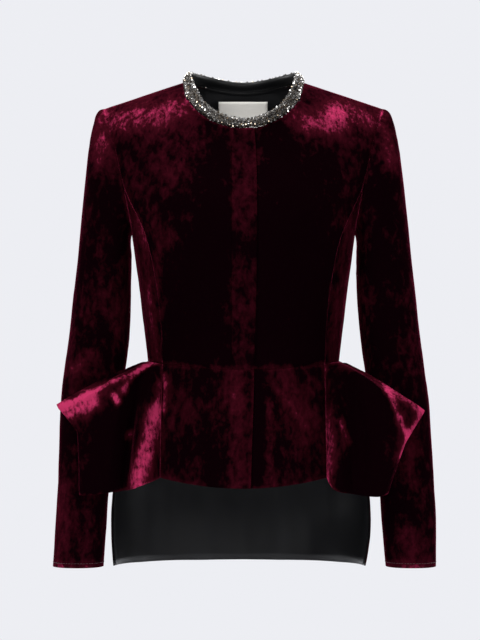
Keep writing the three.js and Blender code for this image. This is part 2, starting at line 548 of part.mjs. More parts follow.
// Back peplum: sections from one side edge round the back to the other
function backPeplumPoint(degrees, z) {
  const side = Math.sin(radians(degrees));
  const half = read(BACK_PEPLUM_UP, "z", z, side < 0 ? "right" : "left");
  const facing = -Math.cos(radians(degrees));
  const depth = read(BACK_PEPLUM_UP, "z", z, "back") - SHOULDER.y;
  const reach = Math.max(0, 1 - Math.abs(side) ** SECTION_POWER) ** (1 / SECTION_POWER);
  return V(half * side, SHOULDER.y + Math.sign(facing) * depth * reach, z);
}
function backPeplumNormal(degrees, z) {
  const step = 0.4;
  const across = backPeplumPoint(degrees + step, z).sub(backPeplumPoint(degrees - step, z));
  const along = backPeplumPoint(degrees, z + step).sub(backPeplumPoint(degrees, z - step));
  return across.cross(along).normalize();
}

// Hip drapes: a sheet through its folds, each a curve from waist to hem
function foldCurve(row) {
  const start = onBody(row.waist, waistZ(row.waist));
  const knots = [start, V(row.cx, row.cy, row.cz), V(row.mx, row.my, row.mz), V(row.hx, row.hy, row.hz)];
  const smooth = new THREE.CatmullRomCurve3(knots, false, "centripetal");
  return times(3 * FOLD_LEG_STEPS + 1, (j) => {
    const leg = Math.min(2, Math.floor(j / FOLD_LEG_STEPS));
    const u = j / FOLD_LEG_STEPS - leg;
    const straight = knots[leg].clone().lerp(knots[leg + 1], u);
    const p = straight.lerp(smooth.getPoint((leg + u) / 3), row.soft);
    if (leg === 0) p.add(V(0, -row.bow, row.bow * CREST_LIFT).multiplyScalar(4 * u * (1 - u)));
    return p;
  });
}
function drapeGrid(folds, side) {
  const rows = 3 * FOLD_LEG_STEPS;
  const seam = PEPLUM_SHARES.map((share) => frontPeplumPoint(WAIST.seamAngle, share));
  const edge = times(rows + 1, (j) => sideEdge(j, side));
  const curves = [seam, ...folds.map(foldCurve), edge];
  const columns = (curves.length - 1) * COLUMNS_PER_FOLD;
  const across = times(rows + 1, (j) => new THREE.CatmullRomCurve3(curves.map((c) => c[j]), false, "centripetal"));
  return times(columns + 1, (i) => times(rows + 1, (j) => across[rows - j].getPoint(i / columns)));
}
const DRAPE_LEVELS = [-374, -384, -395, -407, -420, -434, -449, -464, -480, -497, -514, -531, -547];
const sideZAt = (j) => (j === 0 ? waistZ(WAIST.sideAngle) : DRAPE_LEVELS[j]);
const sideEdge = (j, side) => {
  const p = backPeplumPoint(side < 0 ? -WAIST.sideAngle : WAIST.sideAngle, sideZAt(j));
  return V(Math.abs(p.x), p.y, p.z);
};

// Both edges of a shared seam get the same direction for their wall
function shareNormals(a, b) {
  a.forEach((n, j) => {
    const both = n.clone().add(b[j]).normalize();
    n.copy(both);
    b[j].copy(both);
  });
}
function outwardsFrom(normals, points, centre) {
  const i = Math.floor(points.length / 2);
  const j = Math.floor(points[0].length / 2);
  if (normals[i][j].dot(points[i][j].clone().sub(centre)) < 0) normals.forEach((c) => c.forEach((n) => n.negate()));
  return normals;
}
function useBodyNormalsAtWaist(points, normals) {
  points.forEach((column, i) => {
    const top = column.length - 1;
    normals[i][top] = bodyNormal(column[top]);
  });
}

function addPeplum() {
  const axis = V(0, 0, -450);
  const backPoints = times(BACK_PEPLUM_COLUMNS + 1, (i) => {
    const degrees = mix(WAIST.sideAngle, 360 - WAIST.sideAngle, i / BACK_PEPLUM_COLUMNS);
    const levels = [...times(DRAPE_LEVELS.length, (j) => (j === 0 ? waistZ(degrees) : DRAPE_LEVELS[j])), ...BACK_PEPLUM_LEVELS];
    return levels.reverse().map((z) => ({ degrees, z }));
  });
  const backSide = (p) => backPeplumPoint(p.degrees, p.z);
  const back = backPoints.map((column) => column.map(backSide));
  const backNormals = backPoints.map((column) => column.map((p) => backPeplumNormal(p.degrees, p.z)));
  outwardsFrom(backNormals, back, axis);
  useBodyNormalsAtWaist(back, backNormals);
  const hemRows = BACK_PEPLUM_LEVELS.length;

  for (const side of [1, -1]) {
    const name = side > 0 ? "left" : "right";
    const place = side > 0 ? (grid) => grid : flip;
    const firstX = side > 0 ? () => UNDERLAP_EDGE_X : (z) => -read(LAP_EDGE, "z", z, "x");
    const front = frontPeplumGrid(firstX);
    const frontNormals = outwardsFrom(gridNormals(front), front, axis);
    const drape = drapeGrid(side > 0 ? LEFT_FOLDS : RIGHT_FOLDS, side);
    const drapeNormals = gridNormals(drape);
    if (drapeNormals[7][4].y > 0) drapeNormals.forEach((c) => c.forEach((n) => n.negate()));
    const backEdge = backNormals[side > 0 ? 0 : backNormals.length - 1].slice(hemRows);
    const edgeHere = backEdge.map((n) => V(n.x * side, n.y, n.z));
    shareNormals(frontNormals[frontNormals.length - 1], drapeNormals[0]);
    drapeNormals[drapeNormals.length - 1] = edgeHere.map((n) => n.clone());
    useBodyNormalsAtWaist(front, frontNormals);
    useBodyNormalsAtWaist(drape, drapeNormals);
    let frontPoints = trim(front);
    if (side > 0) frontPoints = sinkUnderLap(frontPoints, frontNormals);
    addWall(`front_peplum_${name}`, place(frontPoints), place(frontNormals));
    addWall(`hip_drape_${name}`, place(trim(drape)), place(drapeNormals));
  }
  const backTrimmed = trim(back);
  addWall("back_peplum", backTrimmed, backNormals);
  const liningPoints = trim(back, LINING_SHORT);
  addWall("back_peplum_lining", offset(liningPoints, backNormals, -CLOTH - SEAM_GAP), backNormals, COLOURS.lining, LINING);
}

addBodice();
addPlacket();
addSleeves();
addNeckBand();
addBackNeck();
addPeplum();

export default jacket;
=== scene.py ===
"""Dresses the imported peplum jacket: crushed velvet panels, black lining, a band of stones and stitching."""

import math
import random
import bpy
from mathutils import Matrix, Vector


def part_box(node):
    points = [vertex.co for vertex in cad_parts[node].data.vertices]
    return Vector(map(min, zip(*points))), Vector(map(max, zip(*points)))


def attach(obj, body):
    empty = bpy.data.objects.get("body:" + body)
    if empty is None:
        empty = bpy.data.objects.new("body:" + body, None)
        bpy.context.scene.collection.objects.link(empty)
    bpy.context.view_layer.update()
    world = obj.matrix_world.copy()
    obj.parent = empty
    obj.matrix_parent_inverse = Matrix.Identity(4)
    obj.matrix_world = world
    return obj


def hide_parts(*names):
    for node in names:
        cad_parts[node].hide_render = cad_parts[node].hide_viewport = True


bl_info = {
    "name": "Peplum Jacket",
    "version": (1, 0, 0),
    "blender": (4, 5, 0),
    "location": "View3D > Sidebar > Jacket",
    "description": "Builds the cloth, stones and stitches of a velvet peplum jacket round its packed solids",
    "category": "Object",
}

import bmesh
import bpy
import numpy as np
from mathutils import Matrix, Vector, noise
from mathutils.bvhtree import BVHTree
from mathutils.kdtree import KDTree

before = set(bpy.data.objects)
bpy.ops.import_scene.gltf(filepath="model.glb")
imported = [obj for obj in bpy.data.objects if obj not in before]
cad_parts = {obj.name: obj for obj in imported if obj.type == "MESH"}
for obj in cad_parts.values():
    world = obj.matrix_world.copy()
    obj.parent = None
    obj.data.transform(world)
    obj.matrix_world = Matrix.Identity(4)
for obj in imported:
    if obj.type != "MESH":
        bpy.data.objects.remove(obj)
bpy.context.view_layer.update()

MM = 0.001
BODY = "root"
WELD = 0.01 * MM
CAD_VELVET = 2.4 * MM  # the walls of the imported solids
CAD_LINING = 1.0 * MM
RIM_MATCH = 0.003 * MM
FOLD_ANGLE = 0.75  # radians, from which a fold stays sharp
FOLD_CREASE = 0.6  # how sharp it stays when the sheet is smoothed
CLOTH_LEVELS = 2  # subdivisions of a sheet
TAPE_LEVELS = 1  # and of the tape under the stones
EDGE_REACH = 6  # mm in from an edge over which creases come up to their full height
EDGE_SHARE = 0.12  # of a crease's height that is left at the edge, so that seams stay closed
SEAM_CLOSE = 0.17 * MM  # the solids are 0.3 mm apart at their seams, so each side moves about half of that
EDGE_PRESS_AND_HIGHLIGHT = {"lift": 0.2, "half": 2.6}  # turned edges and seams are pressed and also carry a painted highlight of lit seams, in mm
NECK_EDGE_Z = -0.0105  # the back neck seam lies above this height
NECK_EDGE_Y = 0.02  # and behind this
LINING_TURN_UP = 5 * MM  # the neck lining goes on up behind the band
BAND_SPREAD = 1.2 * MM  # how far the beaded tape stands proud of its solid, over the edge that it covers
CRINKLE = {"gain": 2.2, "base": -0.1}  # how much the crinkles break up a mark of pressed pile with painted highlight and painted shade
TAPER = {"start": 0.12, "span": 0.76, "power": 0.6}  # how a crease fades towards its ends
SEED_STEP = Vector((7.3, 3.1, 5.7))  # moves the noise on from one piece to the next
SEEDS = 17
ROUND_THE_SIDE = 0.1  # a mark of pressed pile with painted highlights and painted shade goes this far round the side of its piece, in its normal's y
BACK_OF_BAND = 0.012  # metres back, from which the neck band is lined inside
LINED_FROM = 0.15  # a face of the band is lined where it looks inwards more than this
STONES_TO = -0.35  # and has stones until it looks this far inwards
STONE_SEED = 11
CLEAR_SHARE = 0.55  # of the stones, and the others are bronze
STONE = {"facets": 6, "table": 0.26, "height": 0.42, "raised": 0.12}  # shares of its width
STONE_ROUNDS = (
    {"size": "stone", "share": 1, "tries": 2600, "gap": 1},
    {"size": "stone", "share": 0.78, "tries": 3200, "gap": 1},
    {"size": "bead", "share": 1, "tries": 5200, "gap": 1.05},
)
CRUSH = {"broad": 26, "fine": 9, "upright": 0.6, "broad_share": 1.1, "fine_share": 0.55}  # sizes in mm
HEM_STITCHES = 58
STITCH_WIDTH = 0.6 * MM
STITCH_HEIGHT = 0.5 * MM
STITCH_RAY = 0.2  # metres out from the middle of a sleeve, from where the cloth is looked for
CAMERA = {"distance": 3.5, "x": -0.0047, "z": -0.3186, "view_height": 0.864, "sensor": 36}
FLOOR_Z = -0.95
FLOOR_RADIUS = 1.0
ROOM = {"colour": (0.86, 0.88, 0.95, 1), "strength": 0.22}  # what the surroundings cast on the jacket
AIM = Vector((0, 0, -0.32))  # the lights look at the middle of the jacket
# Soft studio lights: name, place in metres, width and height, and power in watts
LIGHTS = (
    ("key", (-1.5, -2.0, 1.6), (0.9, 1.2), 60),
    ("fill", (1.9, -2.0, 0.6), (0.9, 1.6), 26),
    ("left_edge", (-2.0, 0.7, 0.3), (0.5, 1.8), 40),
    ("right_edge", (2.0, 0.7, 0.3), (0.5, 1.8), 40),
    ("top", (0, 0.4, 1.9), (1.4, 0.9), 60),
    ("back", (0.3, 2.4, 0.8), (1.6, 1.6), 40),
    ("front", (0.1, -3.2, 0.5), (0.8, 0.8), 26),
)


def linear(hex_colour):
    """A linear RGBA colour from an sRGB hex value."""
    parts = [int(hex_colour[i : i + 2], 16) / 255 for i in (1, 3, 5)]
    return [c / 12.92 if c <= 0.04045 else ((c + 0.055) / 1.055) ** 2.4 for c in parts] + [1.0]


class JacketSizes(bpy.types.PropertyGroup):
    """Sizes that a user would change."""

    velvet_wall: bpy.props.FloatProperty(
        name="Velvet wall", description="Thickness of the velvet with its lining", default=1.7 * MM,
        unit="LENGTH"
    )
    lining_wall: bpy.props.FloatProperty(
        name="Lining wall", description="Thickness of the lining", default=0.8 * MM, unit="LENGTH"
    )
    crush: bpy.props.FloatProperty(
        name="Crush", description="Height of the small dents in the velvet", default=0.55 * MM, unit="LENGTH"
    )
    stone: bpy.props.FloatProperty(
        name="Stone", description="Width of a large stone of the neck band", default=3.6 * MM, unit="LENGTH"
    )
    bead: bpy.props.FloatProperty(
        name="Bead", description="Width of a small bead between the stones", default=1.9 * MM, unit="LENGTH"
    )
    stitch: bpy.props.FloatProperty(
        name="Stitch", description="Length of a hem stitch", default=2.6 * MM, unit="LENGTH"
    )
    hem_depth: bpy.props.FloatProperty(
        name="Hem depth", description="From a sleeve's edge to its stitching", default=6 * MM, unit="LENGTH"
    )


class JacketColours(bpy.types.PropertyGroup):
    """Colours that a user would change."""

    pile_dark: bpy.props.FloatVectorProperty(
        name="Pile, dark", description="Velvet where the pile leans towards the eye", subtype="COLOR", size=4,
        default=linear("#080103"),
    )
    pile_mid: bpy.props.FloatVectorProperty(
        name="Pile, middle", description="Velvet between its two ways of lying", subtype="COLOR", size=4,
        default=linear("#340812"),
    )
    # The lightest colour, reached mostly where the pile attribute carries a painted highlight, is a painted
    # highlight colour as well as lying pile
    pile_light_and_highlight: bpy.props.FloatVectorProperty(
        name="Pile, light", description="Velvet where the pile leans away", subtype="COLOR", size=4,
        default=linear("#a02a50"),
    )
    pile_shine: bpy.props.FloatVectorProperty(
        name="Pile, shine", description="Tint of the velvet's sheen", subtype="COLOR", size=3,
        default=linear("#c03a5e")[:3],
    )
    lining: bpy.props.FloatVectorProperty(
        name="Lining", description="Black satin lining", subtype="COLOR", size=4, default=linear("#08080a"),
    )
    label: bpy.props.FloatVectorProperty(
        name="Label", description="Bare woven label", subtype="COLOR", size=4, default=linear("#fbf8f2"),
    )
    backdrop: bpy.props.FloatVectorProperty(
        name="Backdrop", description="Pale floor and surroundings", subtype="COLOR", size=4,
        default=linear("#edeef3"),
    )


def add_node(tree, kind, links=(), **settings):
    """Adds a node, sets its settings and socket values, and links (socket, from node, output) into it."""
    node = tree.nodes.new(kind)
    for key, value in settings.items():
        if hasattr(node, key):
            setattr(node, key, value)
        else:
            node.inputs[key.replace("_", " ")].default_value = value
    for socket, source, output in links:
        tree.links.new(source.outputs[output], node.inputs[socket])
    return node


def new_material(name):
    """An empty node material and its tree."""
    material = bpy.data.materials.new(name)
    material.use_nodes = True
    material.node_tree.nodes.clear()
    return material, material.node_tree


def finish_material(tree, shader):
    add_node(tree, "ShaderNodeOutputMaterial", [("Surface", shader, "BSDF")])


def set_ramp(ramp, stops):
    """Gives a colour ramp its stops, each a position and a colour."""
    elements = ramp.color_ramp.elements
    while len(elements) < len(stops):
        elements.new(0.5)
    for element, (position, colour) in zip(elements, stops):
        element.position = position
        element.color = list(colour)[:4]


def crushed_velvet(colours):
    """Crushed velvet: a short dense pile, almost black where it stands and crimson where it lies over.

    The attribute called pile carries pressed pile together with painted highlights and painted shade, which
    lighten or darken it."""
    material, tree = new_material("crushed_velvet")
    place = add_node(tree, "ShaderNodeTexCoord")
    long_way = add_node(tree, "ShaderNodeMapping", [("Vector", place, "Object")])
    long_way.inputs["Scale"].default_value = (1, 1, 0.6)
    # Patches of leaning pile are about 50 mm across, and the crushed flecks in them about 9 mm
    patches = add_node(tree, "ShaderNodeTexNoise", [("Vector", long_way, "Vector")], Scale=19, Detail=4,
                       Roughness=0.55, Distortion=0.25)
    flecks = add_node(tree, "ShaderNodeTexNoise", [("Vector", long_way, "Vector")], Scale=110, Detail=5,
                      Roughness=0.66, Distortion=0.3)
    pile = add_node(tree, "ShaderNodeTexNoise", [("Vector", place, "Object")], Scale=1100, Detail=2,
                    Roughness=0.6)
    mixed = add_node(tree, "ShaderNodeMix", [("A", patches, "Fac"), ("B", flecks, "Fac")], Factor=0.5)
    pressed_and_painted_marks = add_node(tree, "ShaderNodeAttribute", attribute_name="pile")
    # The pressed pile and painted highlights and shade are broken up by crinkles, in lines about 4 mm apart
    crinkle = add_node(tree, "ShaderNodeTexNoise", [("Vector", long_way, "Vector")], Scale=230, Detail=4,
                       Roughness=0.65, Distortion=0.3)
    depth = add_node(tree, "ShaderNodeMath", [(0, crinkle, "Fac")], operation="MULTIPLY_ADD")
    depth.inputs[1].default_value = CRINKLE["gain"]
    depth.inputs[2].default_value = CRINKLE["base"]
    # The pile attribute, pressed pile with painted highlights and painted shade, is crinkled and added to the
    # random tone before the ramp turns it into colour
    crinkled_marks = add_node(tree, "ShaderNodeMath", [(0, pressed_and_painted_marks, "Fac"), (1, depth, "Value")],
                      operation="MULTIPLY")
    lay_and_painted_light = add_node(tree, "ShaderNodeMath", [(0, mixed, "Result"), (1, crinkled_marks, "Value")], operation="ADD")
    ramp = add_node(tree, "ShaderNodeValToRGB", [("Fac", lay_and_painted_light, "Value")])
    set_ramp(ramp, [(0.5, colours.pile_dark), (0.74, colours.pile_mid), (1.0, colours.pile_light_and_highlight)])
    dents = add_node(tree, "ShaderNodeBump", [("Height", flecks, "Fac")], Strength=0.5, Distance=2.2 * MM)
    nap = add_node(tree, "ShaderNodeBump", [("Height", pile, "Fac"), ("Normal", dents, "Normal")],
                   Strength=0.3, Distance=0.4 * MM)
    shader = add_node(tree, "ShaderNodeBsdfPrincipled",
                      [("Base Color", ramp, "Color"), ("Normal", nap, "Normal")])
    # A pile has no gloss of its own, only the sheen of its tips
    shader.inputs["Specular IOR Level"].default_value = 0
    shader.inputs["Sheen Weight"].default_value = 0.28
    shader.inputs["Sheen Roughness"].default_value = 0.22
    shader.inputs["Sheen Tint"].default_value = list(colours.pile_shine) + [1]
    finish_material(tree, shader)
    return material


def satin_lining(colours):
    """Acetate satin lining: smooth, black, with a fine twill that gives long soft highlights."""
    material, tree = new_material("satin_lining")
    place = add_node(tree, "ShaderNodeTexCoord")
    # The twill is drawn at 1.2 mm, coarser than the real 0.3 mm, so that it shows
    twill = add_node(tree, "ShaderNodeTexWave", [("Vector", place, "Object")], Scale=260, Distortion=1.5)
    tone = add_node(tree, "ShaderNodeTexNoise", [("Vector", place, "Object")], Scale=30, Detail=2)
    ramp = add_node(tree, "ShaderNodeValToRGB", [("Fac", tone, "Fac")])
    set_ramp(ramp, [(0.3, linear("#050506")), (0.7, colours.lining)])
    weave = add_node(tree, "ShaderNodeBump", [("Height", twill, "Fac")], Strength=0.12, Distance=0.2 * MM)
    shader = add_node(tree, "ShaderNodeBsdfPrincipled",
                      [("Base Color", ramp, "Color"), ("Normal", weave, "Normal")], Roughness=0.42, IOR=1.46)
    shader.inputs["Specular IOR Level"].default_value = 0.22
    finish_material(tree, shader)
    return material


def woven_label(colours):
    """Woven damask tape: off-white, slightly shiny, with a fine rib across."""
    material, tree = new_material("woven_tape")
    place = add_node(tree, "ShaderNodeTexCoord")
    rib = add_node(tree, "ShaderNodeTexWave", [("Vector", place, "Object")], Scale=380, Distortion=0.4)
    rib.bands_direction = "Z"
    ramp = add_node(tree, "ShaderNodeValToRGB", [("Fac", rib, "Fac")])
    set_ramp(ramp, [(0.0, linear("#eeeae2")), (1.0, colours.label)])
    bump = add_node(tree, "ShaderNodeBump", [("Height", rib, "Fac")], Strength=0.2, Distance=0.2 * MM)
    shader = add_node(tree, "ShaderNodeBsdfPrincipled",
                      [("Base Color", ramp, "Color"), ("Normal", bump, "Normal")], Roughness=0.5, IOR=1.5)
    finish_material(tree, shader)
    return material


def band_tape():
    """Bronze-grey beaded tape under the stones: seed beads, each with a painted highlight at its middle and
    painted shade towards its edge, that read as a dark sparkling ground.
    """
    material, tree = new_material("beaded_tape")
    place = add_node(tree, "ShaderNodeTexCoord")
    seeds = add_node(tree, "ShaderNodeTexVoronoi", [("Vector", place, "Object")], Scale=620)
    ramp = add_node(tree, "ShaderNodeValToRGB", [("Fac", seeds, "Distance")])
    # Light at each bead's middle is a painted highlight, and dark towards its edge is painted shade between
    # beads
    set_ramp(ramp, [(0.1, linear("#5b5349")), (0.5, linear("#0e0c0a"))])
    bump = add_node(tree, "ShaderNodeBump", [("Height", seeds, "Distance")], Strength=0.8, Distance=-0.6 * MM)
    shader = add_node(tree, "ShaderNodeBsdfPrincipled",
                      [("Base Color", ramp, "Color"), ("Normal", bump, "Normal")],
                      Roughness=0.3, Metallic=0.55)
    finish_material(tree, shader)
    return material


def cut_glass(name, hex_low, hex_high, metallic):
    """Foil-backed cut glass: the foil makes each facet a small mirror, so it is drawn as bright metal."""
    material, tree = new_material(name)
    place = add_node(tree, "ShaderNodeTexCoord")
    tone = add_node(tree, "ShaderNodeTexNoise", [("Vector", place, "Object")], Scale=330, Detail=1)
    ramp = add_node(tree, "ShaderNodeValToRGB", [("Fac", tone, "Fac")])
    set_ramp(ramp, [(0.4, linear(hex_low)), (0.62, linear(hex_high))])
    shader = add_node(tree, "ShaderNodeBsdfPrincipled", [("Base Color", ramp, "Color")], Roughness=0.12,
                      Metallic=metallic, IOR=1.6)
    shader.inputs["Coat Weight"].default_value = 0.6
    finish_material(tree, shader)
    return material


def sewing_thread():
    """Dull polyester thread, wine red, near the shade of the velvet round it."""
    material, tree = new_material("sewing_thread")
    place = add_node(tree, "ShaderNodeTexCoord")
    twist = add_node(tree, "ShaderNodeTexWave", [("Vector", place, "Object")], Scale=700, Distortion=1)
    ramp = add_node(tree, "ShaderNodeValToRGB", [("Fac", twist, "Fac")])
    set_ramp(ramp, [(0.2, linear("#260711")), (0.8, linear("#360b19"))])
    shader = add_node(tree, "ShaderNodeBsdfPrincipled", [("Base Color", ramp, "Color")], Roughness=0.6)
    finish_material(tree, shader)
    return material


def islands(bm):
    """The mesh's faces in connected groups."""
    seen = set()
    groups = []
    for face in bm.faces:
        if face in seen:
            continue
        group = []
        stack = [face]
        seen.add(face)
        while stack:
            here = stack.pop()
            group.append(here)
            for edge in here.edges:
                for other in edge.link_faces:
                    if other not in seen:
                        seen.add(other)
                        stack.append(other)
        groups.append(group)
    return groups


def is_rim(face, wall):
    """True for a face of the wall's rim, which has an edge straight through the wall."""
    return any(abs(edge.calc_length() - wall) < RIM_MATCH for edge in face.edges)


def outer_sheet(node_name):
    """The outer side of a node's wall, as a bmesh of quads."""
    bm = bmesh.new()
    bm.from_mesh(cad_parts[node_name].data)
    bmesh.ops.remove_doubles(bm, verts=bm.verts, dist=WELD)
    bm.normal_update()
    low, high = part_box(node_name)
    tube = node_name.startswith("sleeve")
    middle = (Vector(low) + Vector(high)) / 2 if tube else Vector((0, 0, (low[2] + high[2]) / 2))
    wall = CAD_LINING if "lining" in node_name or "label" in node_name else CAD_VELVET
    rim = [face for face in bm.faces if is_rim(face, wall)]
    bmesh.ops.delete(bm, geom=rim, context="FACES")

    def outwardness(faces):
        return sum(f.calc_area() * f.normal.dot(f.calc_center_median() - middle) for f in faces)

    groups = sorted(islands(bm), key=outwardness)
    bmesh.ops.delete(bm, geom=[f for group in groups[:-1] for f in group], context="FACES")
    bmesh.ops.join_triangles(bm, faces=bm.faces, angle_face_threshold=math.pi, angle_shape_threshold=math.pi)
    crease = bm.edges.layers.float.new("crease_edge")
    for edge in bm.edges:
        if edge.calc_face_angle(0) > FOLD_ANGLE:
            edge[crease] = FOLD_CREASE
    return bm


def object_from(bm, name):
    """A new object with the bmesh's faces."""
    mesh = bpy.data.meshes.new(name)
    bm.to_mesh(mesh)
    bm.free()
    obj = bpy.data.objects.new(name, mesh)
    bpy.context.collection.objects.link(obj)
    return obj


def apply_modifiers(obj):
    """Gives obj the mesh that its modifiers make."""
    graph = bpy.context.evaluated_depsgraph_get()
    mesh = bpy.data.meshes.new_from_object(obj.evaluated_get(graph))
    old = obj.data
    obj.modifiers.clear()
    obj.data = mesh
    bpy.data.meshes.remove(old)


def subdivide(obj, levels):
    """Smooths a sheet and keeps its corners."""
    modifier = obj.modifiers.new("smooth", "SUBSURF")
    modifier.levels = modifier.render_levels = levels
    modifier.boundary_smooth = "PRESERVE_CORNERS"
    apply_modifiers(obj)


# Creases of each piece and side: the line that a crease follows as (x, z), how far it stands out
# or sinks in, and its half width, all in mm
CREASES = {
    # Elbow creases of the right sleeve, and lighter pulls above and below them
    ("sleeve_right", "front"): [
        {"line": [(-187, -352), (-208, -368), (-233, -388)], "out": -3.2, "half": 5},
        {"line": [(-183, -338), (-206, -352), (-236, -372)], "out": 2.0, "half": 6},
        {"line": [(-168, -306), (-190, -322), (-214, -345)], "out": -1.5, "half": 6},
        {"line": [(-200, -415), (-222, -430), (-240, -436)], "out": -1.4, "half": 6},
        {"line": [(-200, -470), (-216, -520), (-222, -585)], "out": -1.3, "half": 7},
        {"line": [(-180, -120), (-190, -170), (-188, -230)], "out": -1.6, "half": 9},
    ],
    ("sleeve_right", "back"): [
        {"line": [(-180, -345), (-205, -356), (-232, -352)], "out": -2.6, "half": 6},
        {"line": [(-186, -392), (-210, -398), (-238, -388)], "out": -2.0, "half": 7},
        {"line": [(-205, -450), (-220, -520), (-214, -590)], "out": -1.6, "half": 8},
    ],
    # The left sleeve hangs straighter: shallower creases at the elbow and two long pulls
    ("sleeve_left", "front"): [
        {"line": [(172, -330), (200, -352), (228, -360)], "out": -1.8, "half": 7},
        {"line": [(185, -385), (210, -398), (238, -400)], "out": -1.7, "half": 6},
        {"line": [(222, -430), (228, -500), (226, -580)], "out": -1.5, "half": 8},
        {"line": [(186, -110), (196, -165), (194, -240)], "out": -1.6, "half": 9},
        {"line": [(170, -270), (182, -310), (196, -330)], "out": -1.2, "half": 6},
    ],
    ("sleeve_left", "back"): [
        {"line": [(176, -340), (205, -350), (234, -340)], "out": -2.4, "half": 6},
        {"line": [(190, -398), (214, -402), (240, -390)], "out": -2.0, "half": 7},
        {"line": [(208, -460), (222, -530), (218, -600)], "out": -1.5, "half": 8},
    ],
    # Bodice fronts: pulls from the bust to the side, and ease above the waist seam
    ("front_right", "front"): [
        {"line": [(-60, -215), (-90, -232), (-118, -236)], "out": -1.3, "half": 9},
        {"line": [(-35, -330), (-70, -345), (-104, -346)], "out": -1.2, "half": 7},
        {"line": [(-122, -60), (-136, -100), (-140, -150)], "out": -1.8, "half": 10},
        {"line": [(-40, -90), (-62, -120), (-90, -140)], "out": -0.9, "half": 10},
    ],
    ("front_left", "front"): [
        {"line": [(58, -212), (90, -228), (116, -240)], "out": -1.2, "half": 9},
        {"line": [(32, -336), (66, -350), (100, -348)], "out": -1.3, "half": 7},
        {"line": [(124, -64), (138, -104), (142, -156)], "out": -1.9, "half": 10},
        {"line": [(42, -96), (66, -130), (92, -146)], "out": -0.9, "half": 10},
    ],
    ("side_front_right", "front"): [
        {"line": [(-118, -338), (-134, -330)], "out": -1.0, "half": 7},
    ],
    ("side_front_left", "front"): [
        {"line": [(116, -334), (134, -326)], "out": -1.0, "half": 7},
    ],
    # Bodice back: a hollow along the spine, ease over the blades and creases at the back waist
    ("back_right", "back"): [
        {"line": [(-20, -330), (-70, -340), (-120, -332)], "out": -1.8, "half": 7},
        {"line": [(-30, -295), (-80, -305), (-128, -292)], "out": -1.3, "half": 8},
        {"line": [(-150, -110), (-135, -150), (-125, -200)], "out": -2.0, "half": 9},
    ],
    ("back_left", "back"): [
        {"line": [(25, -336), (74, -348), (122, -340)], "out": -1.7, "half": 7},
        {"line": [(40, -300), (84, -312), (126, -302)], "out": -1.2, "half": 8},
        {"line": [(152, -105), (138, -150), (128, -204)], "out": -1.9, "half": 9},
    ],
    # Front peplum: the thin crease that crosses it, the lit ridge by the lap and the folds towards the drapes
    ("front_peplum_left", "front"): [
        {"line": [(39, -417), (60, -443), (80, -470)], "out": -1.6, "half": 2.6},
        {"line": [(38, -430), (35, -480), (32, -535)], "out": 2.4, "half": 6},
        {"line": [(24, -420), (22, -480), (20, -535)], "out": -2.2, "half": 6},
        {"line": [(88, -400), (92, -450), (96, -520)], "out": -2.0, "half": 7},
        {"line": [(66, -420), (70, -470), (74, -530)], "out": 1.6, "half": 9},
    ],
    ("front_peplum_right", "front"): [
        {"line": [(-16, -400), (-18, -460), (-20, -535)], "out": 1.2, "half": 7},
        {"line": [(-42, -392), (-50, -450), (-52, -530)], "out": -1.8, "half": 8},
        {"line": [(-80, -395), (-86, -450), (-92, -525)], "out": -2.0, "half": 8},
        {"line": [(-66, -400), (-70, -450), (-73, -520)], "out": 1.5, "half": 7},
    ],
    # Right drape: the roll by the seam, its crease and the crushed folds below
    ("hip_drape_right", "front"): [
        {"line": [(-110, -388), (-111, -420), (-112, -450)], "out": 2.0, "half": 3},
        {"line": [(-118, -440), (-128, -480), (-130, -530)], "out": -2.4, "half": 4},
        {"line": [(-134, -430), (-141, -470), (-146, -530)], "out": 2.0, "half": 4},
        {"line": [(-150, -440), (-152, -480), (-156, -535)], "out": -2.0, "half": 4},
        {"line": [(-196, -412), (-206, -440), (-218, -462)], "out": -2.6, "half": 4},
        {"line": [(-166, -390), (-178, -410), (-186, -450)], "out": 1.8, "half": 5},
        {"line": [(-176, -470), (-182, -500), (-184, -540)], "out": -1.6, "half": 5},
        {"line": [(-199, -470), (-202, -500), (-202, -542)], "out": -1.2, "half": 4},
    ],
    # Left drape: the lit roll, the dark diagonal and small folds between them
    ("hip_drape_left", "front"): [
        {"line": [(108, -430), (107, -480), (114, -540)], "out": 2.2, "half": 4},
        {"line": [(118, -485), (122, -500), (126, -535)], "out": -2.4, "half": 4},
        {"line": [(126, -450), (134, -470), (146, -486)], "out": -1.7, "half": 3},
        {"line": [(130, -470), (138, -500), (141, -542)], "out": 1.6, "half": 4},
        {"line": [(150, -430), (158, -470), (158, -540)], "out": -1.9, "half": 5},
        {"line": [(170, -420), (176, -460), (172, -540)], "out": 1.5, "half": 5},
        {"line": [(196, -440), (200, -465), (190, -500)], "out": -1.5, "half": 4},
    ],
    # Back peplum: long uneven flutes from the waist, hidden from the front
    ("back_peplum", "back"): [
        {"line": [(-118, -390), (-134, -480), (-142, -650)], "out": -4.0, "half": 12},
        {"line": [(-78, -385), (-90, -480), (-98, -650)], "out": 3.4, "half": 13},
        {"line": [(-44, -385), (-50, -480), (-58, -650)], "out": -3.6, "half": 12},
        {"line": [(-4, -380), (-6, -480), (-2, -650)], "out": 3.0, "half": 14},
        {"line": [(36, -384), (42, -480), (50, -650)], "out": -3.2, "half": 12},
        {"line": [(74, -386), (86, -480), (94, -650)], "out": 3.6, "half": 13},
        {"line": [(112, -390), (128, -480), (136, -650)], "out": -4.0, "half": 12},
    ],
}
